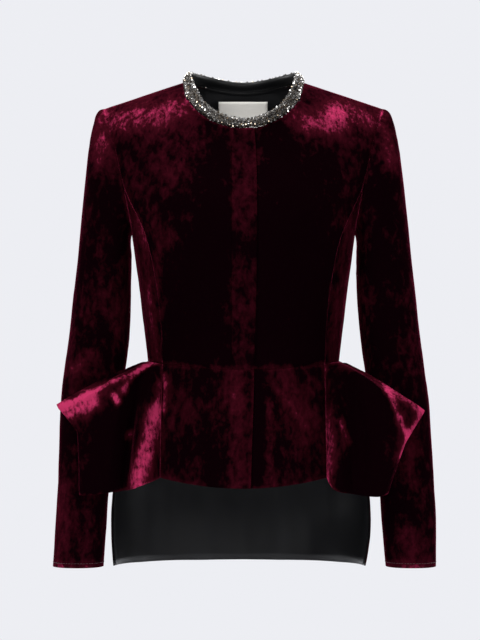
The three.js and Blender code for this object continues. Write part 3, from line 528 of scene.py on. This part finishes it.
# Painted highlights on lit folds, ridges and shoulder tops and painted shade in the valleys, with some
# pressed pile, in rows like those above: lift lightens the colour, and below zero darkens it
PRESSED_AND_PAINTED_LIGHT = {
    ("front_right", "front"): [
        {"line": [(-84, -34), (-120, -50), (-165, -52)], "lift": 0.22, "half": 22},
        {"line": [(-70, -80), (-95, -110)], "lift": 0.12, "half": 30},
        {"line": [(-50, -180), (-60, -340)], "lift": -0.1, "half": 40},
        {"line": [(-112, -230), (-108, -340)], "lift": 0.1, "half": 10},
        {"line": [(-100, -20), (-184, -46)], "lift": 0.09, "half": 32},
    ],
    ("side_front_right", "front"): [
        {"line": [(-140, -150), (-130, -230), (-117, -365)], "lift": 0.2, "half": 8},
    ],
    ("side_front_left", "front"): [
        {"line": [(142, -150), (132, -230), (119, -365)], "lift": 0.1, "half": 7},
    ],
    ("front_left", "front"): [
        {"line": [(104, -24), (184, -52)], "lift": 0.1, "half": 34},
        {"line": [(72, -50), (92, -60), (120, -50)], "lift": 0.25, "half": 20},
        {"line": [(130, -40), (170, -55)], "lift": 0.16, "half": 18},
        {"line": [(60, -140), (70, -350)], "lift": -0.14, "half": 45},
    ],
    ("placket", "front"): [
        {"line": [(0, -75), (0, -370)], "lift": 0.04, "half": 18},
    ],
    ("sleeve_right", "front"): [
        {"line": [(-184, -44), (-190, -70), (-193, -104)], "lift": 0.22, "half": 14},
        {"line": [(-205, -260), (-215, -330)], "lift": 0.02, "half": 16},
        {"line": [(-205, -366), (-232, -386)], "lift": 0.2, "half": 7},
        {"line": [(-240, -540), (-244, -640)], "lift": 0.13, "half": 14},
        {"line": [(-205, -600), (-215, -640)], "lift": 0.06, "half": 14},
    ],
    ("sleeve_left", "front"): [
        {"line": [(184, -44), (192, -70), (196, -110)], "lift": 0.24, "half": 12},
        {"line": [(216, -480), (226, -560)], "lift": 0.08, "half": 14},
        {"line": [(214, -600), (228, -640)], "lift": 0.1, "half": 15},
    ],
    ("front_peplum_right", "front"): [
        {"line": [(-10, -390), (-10, -530)], "lift": 0.15, "half": 14},
        {"line": [(-104, -392), (-106, -440)], "lift": 0.3, "half": 4},
    ],
    ("front_peplum_left", "front"): [
        {"line": [(34, -430), (34, -530)], "lift": 0.12, "half": 7},
        {"line": [(52, -400), (70, -440)], "lift": 0.08, "half": 20},
        {"line": [(47, -412), (88, -466)], "lift": 0.13, "half": 3.6},
        {"line": [(16, -390), (16, -530)], "lift": -0.16, "half": 9},
    ],
    ("hip_drape_right", "front"): [
        {"line": [(-241, -432), (-226, -440), (-202, -426)], "lift": 0.48, "half": 13},
        {"line": [(-118, -375), (-171, -399), (-238, -433)], "lift": 0.34, "half": 4},
        {"line": [(-112, -400), (-114, -450)], "lift": 0.2, "half": 5},
        {"line": [(-170, -418), (-164, -426)], "lift": 0.5, "half": 5},
        {"line": [(-131, -378), (-152, -402), (-158, -412)], "lift": 0.34, "half": 5},
        {"line": [(-118, -440), (-126, -480), (-142, -530)], "lift": 0.42, "half": 12},
        {"line": [(-150, -468), (-154, -474)], "lift": 0.4, "half": 6},
        {"line": [(-136, -400), (-152, -440), (-166, -530)], "lift": -0.2, "half": 12},
        {"line": [(-185, -440), (-190, -540)], "lift": -0.1, "half": 24},
    ],
    ("hip_drape_left", "front"): [
        {"line": [(120, -366), (152, -378), (190, -408), (236, -436)], "lift": 0.32, "half": 8},
        {"line": [(189, -410), (204, -444), (216, -472)], "lift": 0.36, "half": 5},
        {"line": [(236, -440), (218, -470), (206, -500)], "lift": 0.32, "half": 5},
        {"line": [(112, -440), (112, -540)], "lift": 0.24, "half": 7},
        {"line": [(128, -452), (138, -480)], "lift": 0.28, "half": 6},
        {"line": [(160, -410), (164, -540)], "lift": -0.2, "half": 26},
    ],
    ("back_right", "back"): [
        {"line": [(-60, -50), (-120, -70), (-160, -66)], "lift": 0.24, "half": 24},
        {"line": [(-60, -240), (-80, -350)], "lift": 0.1, "half": 24},
    ],
    ("back_left", "back"): [
        {"line": [(60, -54), (118, -66), (164, -70)], "lift": 0.24, "half": 24},
        {"line": [(70, -230), (66, -350)], "lift": 0.1, "half": 22},
    ],
    ("back_peplum", "back"): [
        {"line": [(-86, -400), (-98, -640)], "lift": 0.26, "half": 14},
        {"line": [(-5, -400), (-3, -640)], "lift": 0.22, "half": 16},
        {"line": [(80, -400), (94, -640)], "lift": 0.26, "half": 14},
    ],
}


def distance_to_line(points, line):
    """Distance from each point to a line in the same plane, and the share of the line at its foot."""
    best = np.full(len(points), 1e9)
    share = np.zeros(len(points))
    spans = len(line) - 1
    for k in range(spans):
        a = np.array(line[k], float)
        b = np.array(line[k + 1], float)
        along = b - a
        t = np.clip(((points - a) @ along) / (along @ along), 0, 1)
        distance = np.linalg.norm(points - (a + t[:, None] * along), axis=1)
        nearer = distance < best
        best[nearer] = distance[nearer]
        share[nearer] = (k + t[nearer]) / spans
    return best, share


def rows_of(table, piece):
    """The rows of a table that are on a piece, each with its side."""
    return [(side, row) for (name, side), rows in table.items() if name == piece for row in rows]


def crease_heights(piece, places, normals):
    """How far each point of a piece moves along its normal for the creases on it, in mm."""
    flat = places[:, [0, 2]]
    total = np.zeros(len(places))
    for side, row in rows_of(CREASES, piece):
        distance, share = distance_to_line(flat, row["line"])
        taper = np.sin(np.pi * (TAPER["start"] + TAPER["span"] * share)) ** TAPER["power"]
        height = row["out"] * taper * np.exp(-((distance / row["half"]) ** 2))
        if piece.startswith("sleeve"):
            facing = normals[:, 1] < 0 if side == "front" else normals[:, 1] >= 0
            height = height * facing * np.minimum(1, np.abs(normals[:, 1]) * 2)
        total += height
    return total


def pressed_and_painted_light(piece, places, normals):
    """How far each point is lightened or darkened by pressed pile and by painted highlights and painted
    shade.
    """
    flat = places[:, [0, 2]]
    total = np.zeros(len(places))
    for side, row in rows_of(PRESSED_AND_PAINTED_LIGHT, piece):
        distance, _ = distance_to_line(flat, row["line"])
        facing = normals[:, 1] < ROUND_THE_SIDE if side == "front" else normals[:, 1] >= -ROUND_THE_SIDE
        if piece.startswith("hip_drape"):
            facing = np.ones(len(places))  # the marks, pressed pile with painted highlights and painted shade, go on every face of a fold
        total += row["lift"] * np.exp(-((distance / row["half"]) ** 2)) * facing
    return total


def crush_heights(places, crush, seed):
    """Small dents of the crushed cloth, in mm, from two sizes of noise."""
    shift = seed * SEED_STEP
    heights = np.empty(len(places))
    for k, place in enumerate(places):
        p = Vector(place)
        stretched = Vector((p.x, p.y, p.z * CRUSH["upright"]))
        broad = noise.noise(stretched / CRUSH["broad"] + shift)
        fine = noise.noise(p / CRUSH["fine"] + shift)
        heights[k] = crush * (CRUSH["broad_share"] * broad + CRUSH["fine_share"] * fine)
    return heights


def shape_cloth(obj, piece, crush, seed):
    """Gives a sheet its creases and dents, closes its seams and writes its pile attribute: pressed pile with
    painted highlights and painted shade.
    """
    mesh = obj.data
    count = len(mesh.vertices)
    places = np.empty(count * 3)
    normals = np.empty(count * 3)
    mesh.vertices.foreach_get("co", places)
    mesh.vertices.foreach_get("normal", normals)
    places = places.reshape(-1, 3)
    normals = normals.reshape(-1, 3)
    in_mm = places / MM
    heights = crease_heights(piece, in_mm, normals) + crush_heights(in_mm, crush / MM, seed)
    near = edge_distances(mesh, in_mm)
    heights *= np.clip(near / EDGE_REACH, EDGE_SHARE, 1)
    places += normals * (heights * MM)[:, None]
    close_seams(mesh, places)
    mesh.vertices.foreach_set("co", places.ravel())
    # The pile attribute carries pressed pile with painted highlights and painted shade from the table, and a
    # painted highlight along every edge and seam
    pile = mesh.attributes.new("pile", "FLOAT", "POINT")
    edge_press_and_highlight = EDGE_PRESS_AND_HIGHLIGHT["lift"] * np.exp(-((near / EDGE_PRESS_AND_HIGHLIGHT["half"]) ** 2))
    pile.data.foreach_set("value", pressed_and_painted_light(piece, in_mm, normals) + edge_press_and_highlight)
    mesh.update()


def edge_uses(mesh):
    """How many faces share each edge of a mesh, which is one round a sheet's edge."""
    uses = {}
    for polygon in mesh.polygons:
        for key in polygon.edge_keys:
            uses[key] = uses.get(key, 0) + 1
    return uses


def close_seams(mesh, places):
    """Moves the points on a sheet's edge outwards in the sheet, so that neighbours meet along their seams."""
    uses = edge_uses(mesh)
    rim = {point for key, count in uses.items() if count == 1 for point in key}
    for (a, b), count in uses.items():
        if count == 2 and (a in rim) != (b in rim):
            edge_point, inner = (a, b) if a in rim else (b, a)
            out = places[edge_point] - places[inner]
            places[edge_point] += out / np.linalg.norm(out) * SEAM_CLOSE


def shape_like(obj, piece):
    """Shapes a sheet with the creases and dents of a piece, its own or the one that it lines."""
    seed = sum(map(ord, piece)) % SEEDS
    shape_cloth(obj, piece, bpy.context.scene.jacket_sizes.crush, seed)


def edge_distances(mesh, in_mm):
    """How far each point of a sheet is from its edge, in mm."""
    rim = [(in_mm[a] + in_mm[b]) / 2 for (a, b), count in edge_uses(mesh).items() if count == 1]
    tree = KDTree(len(rim))
    for k, place in enumerate(rim):
        tree.insert(place, k)
    tree.balance()
    return np.array([tree.find(place)[2] for place in in_mm])


def close_sheet(obj, wall, face, back):
    """Gives a sheet its thickness, inwards, with one finish outside and one inside."""
    obj.data.materials.clear()
    obj.data.materials.append(face)
    obj.data.materials.append(back)
    solid = obj.modifiers.new("wall", "SOLIDIFY")
    solid.thickness = wall
    solid.offset = -1
    solid.use_even_offset = False
    solid.material_offset = 1
    solid.material_offset_rim = 0
    apply_modifiers(obj)
    for polygon in obj.data.polygons:
        polygon.use_smooth = True


def declare(obj, node):
    """Hides the solid that a cloth piece stands for and hangs the piece on the body."""
    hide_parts(node)
    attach(obj, BODY)


def make_velvet(nodes):
    """Makes the velvet sheet of each node."""
    sizes = bpy.context.scene.jacket_sizes
    velvet = bpy.data.materials["crushed_velvet"]
    lining = bpy.data.materials["satin_lining"]
    for node in nodes:
        obj = object_from(outer_sheet(node), f"velvet_{node}")
        subdivide(obj, CLOTH_LEVELS)
        shape_like(obj, node)
        # The drapes are faced with velvet on both sides, because their inside shows at the folds
        close_sheet(obj, sizes.velvet_wall, velvet, velvet if node.startswith("hip_drape") else lining)
        declare(obj, node)


class JACKET_OT_finishes(bpy.types.Operator):
    """Make the jacket's materials"""

    bl_idname = "jacket.finishes"
    bl_label = "Finishes"

    def execute(self, context):
        colours = context.scene.jacket_colours
        crushed_velvet(colours)
        satin_lining(colours)
        woven_label(colours)
        band_tape()
        cut_glass("clear_stone", "#55504c", "#f4f2ee", 0.9)
        cut_glass("bronze_stone", "#1f1a16", "#8d7d68", 0.85)
        sewing_thread()
        return {"FINISHED"}


class JACKET_OT_bodice(bpy.types.Operator):
    """Make the fronts, side fronts, backs and placket"""

    bl_idname = "jacket.bodice"
    bl_label = "Bodice"

    def execute(self, context):
        make_velvet(["front_right", "front_left", "side_front_right", "side_front_left", "back_right",
                     "back_left", "placket"])
        return {"FINISHED"}


class JACKET_OT_sleeves(bpy.types.Operator):
    """Make both sleeves"""

    bl_idname = "jacket.sleeves"
    bl_label = "Sleeves"

    def execute(self, context):
        make_velvet(["sleeve_right", "sleeve_left"])
        return {"FINISHED"}


class JACKET_OT_peplum(bpy.types.Operator):
    """Make the front and back peplum and the two hip drapes"""

    bl_idname = "jacket.peplum"
    bl_label = "Peplum"

    def execute(self, context):
        make_velvet(["front_peplum_right", "front_peplum_left", "back_peplum"])
        make_velvet(["hip_drape_right", "hip_drape_left"])
        return {"FINISHED"}


class JACKET_OT_linings(bpy.types.Operator):
    """Make the linings that show, and the bare label"""

    bl_idname = "jacket.linings"
    bl_label = "Linings and label"

    def execute(self, context):
        sizes = context.scene.jacket_sizes
        for node, slot, finish in (
            ("back_neck_lining", "lining", "satin_lining"),
            ("back_peplum_lining", "lining", "satin_lining"),
            ("neck_label", "label", "woven_tape"),
        ):
            bm = outer_sheet(node)
            if node == "back_neck_lining":
                self.turn_up(bm)
            obj = object_from(bm, f"{slot}_{node}")
            subdivide(obj, CLOTH_LEVELS)
            if node == "back_peplum_lining":
                shape_like(obj, "back_peplum")
            material = bpy.data.materials[finish]
            close_sheet(obj, sizes.lining_wall, material, material)
            declare(obj, node)
        return {"FINISHED"}

    def at_neck(self, place):
        """True for a point on the back neck seam."""
        return place.z > NECK_EDGE_Z and place.y > NECK_EDGE_Y

    def turn_up(self, bm):
        """Carries the neck lining's top edge up behind the band."""
        rim = [e for e in bm.edges if e.is_boundary and all(self.at_neck(v.co) for v in e.verts)]
        made = bmesh.ops.extrude_edge_only(bm, edges=rim)
        moved = [item for item in made["geom"] if isinstance(item, bmesh.types.BMVert)]
        bmesh.ops.translate(bm, verts=moved, vec=(0, 0, LINING_TURN_UP))


def cut_stone(bm, place, normal, width, turn, finish):
    """One low cut stone, a few facets round a flat table, on the surface."""
    out = normal.normalized()
    facing = out.to_track_quat("Z", "Y").to_matrix().to_4x4()
    seat = Matrix.Translation(place + out * width * STONE["raised"])
    matrix = seat @ facing @ Matrix.Rotation(turn, 4, "Z")
    made = bmesh.ops.create_cone(bm, cap_ends=True, segments=STONE["facets"], radius1=width / 2,
                                 radius2=width * STONE["table"], depth=width * STONE["height"], matrix=matrix)
    for vert in made["verts"]:
        for face in vert.link_faces:
            face.material_index = finish


class JACKET_OT_neck_band(bpy.types.Operator):
    """Make the neck band: its tape, stones and beads"""

    bl_idname = "jacket.neck_band"
    bl_label = "Neck band"

    def execute(self, context):
        sizes = context.scene.jacket_sizes
        bm = bmesh.new()
        bm.from_mesh(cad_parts["neck_band"].data)
        bmesh.ops.remove_doubles(bm, verts=bm.verts, dist=WELD)
        bmesh.ops.join_triangles(bm, faces=bm.faces, angle_face_threshold=0.6, angle_shape_threshold=math.pi)
        bm.normal_update()
        for vert in bm.verts:
            vert.co += vert.normal * BAND_SPREAD
        tape = object_from(bm, "neck_band_tape")
        subdivide(tape, TAPE_LEVELS)
        tape.data.materials.append(bpy.data.materials["beaded_tape"])
        tape.data.materials.append(bpy.data.materials["satin_lining"])
        for face in tape.data.polygons:
            face.use_smooth = True
            inwards = Vector((-face.center.x, -face.center.y, 0)).normalized()
            if face.center.y > BACK_OF_BAND and face.normal.dot(inwards) > LINED_FROM:
                face.material_index = 1
        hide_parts("neck_band")
        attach(tape, BODY)
        self.add_stones(tape, sizes)
        return {"FINISHED"}

    def add_stones(self, tape, sizes):
        """Scatters large and small stones as close as they fit, with a fixed seed."""
        draw = random.Random(STONE_SEED)
        mesh = tape.data
        spots = []
        for face in mesh.polygons:
            outwards = Vector((face.center.x, face.center.y, 0)).normalized()
            shows = face.normal.dot(outwards) > STONES_TO or face.center.y < BACK_OF_BAND
            if face.material_index == 0 and shows:
                spots.append(face)
        weights = [face.area for face in spots]
        placed = []
        bm = bmesh.new()
        for kind in STONE_ROUNDS:
            width = getattr(sizes, kind["size"]) * kind["share"]
            for face in draw.choices(spots, weights=weights, k=kind["tries"]):
                corners = [mesh.vertices[i].co for i in face.vertices]
                shares = [draw.random() for _ in corners]
                place = sum((c * s for c, s in zip(corners, shares)), Vector()) / sum(shares)
                if any((place - other).length < (width + size) / 2 * kind["gap"] for other, size in placed):
                    continue
                placed.append((place, width))
                finish = 0 if draw.random() < CLEAR_SHARE else 1
                cut_stone(bm, place, face.normal, width, draw.random() * math.pi, finish)
        stones = object_from(bm, "neck_band_stones")
        stones.data.materials.append(bpy.data.materials["clear_stone"])
        stones.data.materials.append(bpy.data.materials["bronze_stone"])
        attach(stones, BODY)


class JACKET_OT_stitching(bpy.types.Operator):
    """Make the stitches round the sleeve hems"""

    bl_idname = "jacket.stitching"
    bl_label = "Stitching"

    def execute(self, context):
        sizes = context.scene.jacket_sizes
        for side in ("right", "left"):
            sleeve = bpy.data.objects[f"velvet_sleeve_{side}"]
            tree = BVHTree.FromPolygons([v.co for v in sleeve.data.vertices],
                                        [tuple(p.vertices) for p in sleeve.data.polygons])
            low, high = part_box(f"sleeve_{side}")
            level = low[2] + sizes.hem_depth
            ring = [v.co for v in sleeve.data.vertices if v.co.z < low[2] + 2 * sizes.hem_depth]
            middle = sum(ring, Vector()) / len(ring)
            middle.z = level
            bm = bmesh.new()
            for k in range(HEM_STITCHES):
                angle = 2 * math.pi * k / HEM_STITCHES
                ray = Vector((math.cos(angle), math.sin(angle), 0))
                place, normal, _, _ = tree.ray_cast(middle + ray * STITCH_RAY, -ray)
                if place is None:
                    continue
                tangent = normal.cross(Vector((0, 0, 1))).normalized()
                turn = Matrix((tangent, normal.cross(tangent), normal)).transposed().to_4x4()
                scale = Matrix.Diagonal((sizes.stitch, STITCH_WIDTH, STITCH_HEIGHT, 1))
                spot = Matrix.Translation(place + normal * STITCH_HEIGHT / 5)
                bmesh.ops.create_cube(bm, size=1, matrix=spot @ turn @ scale)
            stitches = object_from(bm, f"hem_stitches_{side}")
            stitches.data.materials.append(bpy.data.materials["sewing_thread"])
            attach(stitches, BODY)
        return {"FINISHED"}


class JACKET_OT_stage(bpy.types.Operator):
    """Make the pale floor, the lights and the camera"""

    bl_idname = "jacket.stage"
    bl_label = "Stage"

    def execute(self, context):
        scene = context.scene
        colours = scene.jacket_colours
        scene.view_settings.view_transform = "Standard"
        world = bpy.data.worlds.new("pale_room")
        scene.world = world
        world.use_nodes = True
        tree = world.node_tree
        tree.nodes.clear()
        seen = add_node(tree, "ShaderNodeBackground", Color=colours.backdrop, Strength=1.0)
        cast = add_node(tree, "ShaderNodeBackground", Color=ROOM["colour"], Strength=ROOM["strength"])
        path = add_node(tree, "ShaderNodeLightPath")
        mix = add_node(tree, "ShaderNodeMixShader", [("Fac", path, "Is Camera Ray")])
        tree.links.new(cast.outputs["Background"], mix.inputs[1])
        tree.links.new(seen.outputs["Background"], mix.inputs[2])
        add_node(tree, "ShaderNodeOutputWorld", [("Surface", mix, "Shader")])

        bm = bmesh.new()
        bmesh.ops.create_circle(bm, cap_ends=True, segments=64, radius=FLOOR_RADIUS,
                                matrix=Matrix.Translation((0, 0, FLOOR_Z)))
        floor = object_from(bm, "floor")
        paper, tree = new_material("backdrop_paper")
        shader = add_node(tree, "ShaderNodeBsdfPrincipled", Roughness=0.9)
        shader.inputs["Base Color"].default_value = colours.backdrop
        finish_material(tree, shader)
        floor.data.materials.append(paper)
        self.add_lights()
        self.add_camera(scene)
        return {"FINISHED"}

    def add_lights(self):
        for name, place, size, power in LIGHTS:
            light = bpy.data.lights.new(name, "AREA")
            light.shape = "RECTANGLE"
            light.size, light.size_y = size
            light.energy = power
            obj = bpy.data.objects.new(name, light)
            obj.location = place
            obj.rotation_euler = (AIM - Vector(place)).to_track_quat("-Z", "Y").to_euler()
            bpy.context.collection.objects.link(obj)

    def add_camera(self, scene):
        camera = bpy.data.cameras.new("camera")
        camera.sensor_width = CAMERA["sensor"]
        camera.lens = CAMERA["sensor"] * CAMERA["distance"] / CAMERA["view_height"]
        obj = bpy.data.objects.new("camera", camera)
        obj.location = (CAMERA["x"], -CAMERA["distance"], CAMERA["z"])
        obj.rotation_euler = (math.pi / 2, 0, 0)
        bpy.context.collection.objects.link(obj)
        scene.camera = obj


class JACKET_PT_pieces(bpy.types.Panel):
    """The jacket's operators and settings"""

    bl_label = "Jacket"
    bl_idname = "JACKET_PT_pieces"
    bl_space_type = "VIEW_3D"
    bl_region_type = "UI"
    bl_category = "Jacket"

    def draw(self, context):
        for group in (context.scene.jacket_sizes, context.scene.jacket_colours):
            for name in group.bl_rna.properties.keys():
                if name not in ("rna_type", "name"):
                    self.layout.prop(group, name)
        for operator in OPERATORS:
            self.layout.operator(operator.bl_idname)


OPERATORS = (
    JACKET_OT_finishes, JACKET_OT_bodice, JACKET_OT_sleeves, JACKET_OT_peplum, JACKET_OT_linings,
    JACKET_OT_neck_band, JACKET_OT_stitching, JACKET_OT_stage,
)
CLASSES = (JacketSizes, JacketColours) + OPERATORS + (JACKET_PT_pieces,)


def register():
    for cls in CLASSES:
        bpy.utils.register_class(cls)
    bpy.types.Scene.jacket_sizes = bpy.props.PointerProperty(type=JacketSizes)
    bpy.types.Scene.jacket_colours = bpy.props.PointerProperty(type=JacketColours)


def unregister():
    del bpy.types.Scene.jacket_colours
    del bpy.types.Scene.jacket_sizes
    for cls in reversed(CLASSES):
        bpy.utils.unregister_class(cls)


def main():
    register()
    bpy.ops.jacket.finishes()
    bpy.ops.jacket.bodice()
    bpy.ops.jacket.sleeves()
    bpy.ops.jacket.peplum()
    bpy.ops.jacket.linings()
    bpy.ops.jacket.neck_band()
    bpy.ops.jacket.stitching()
    bpy.ops.jacket.stage()


if __name__ == "__main__":
    main()
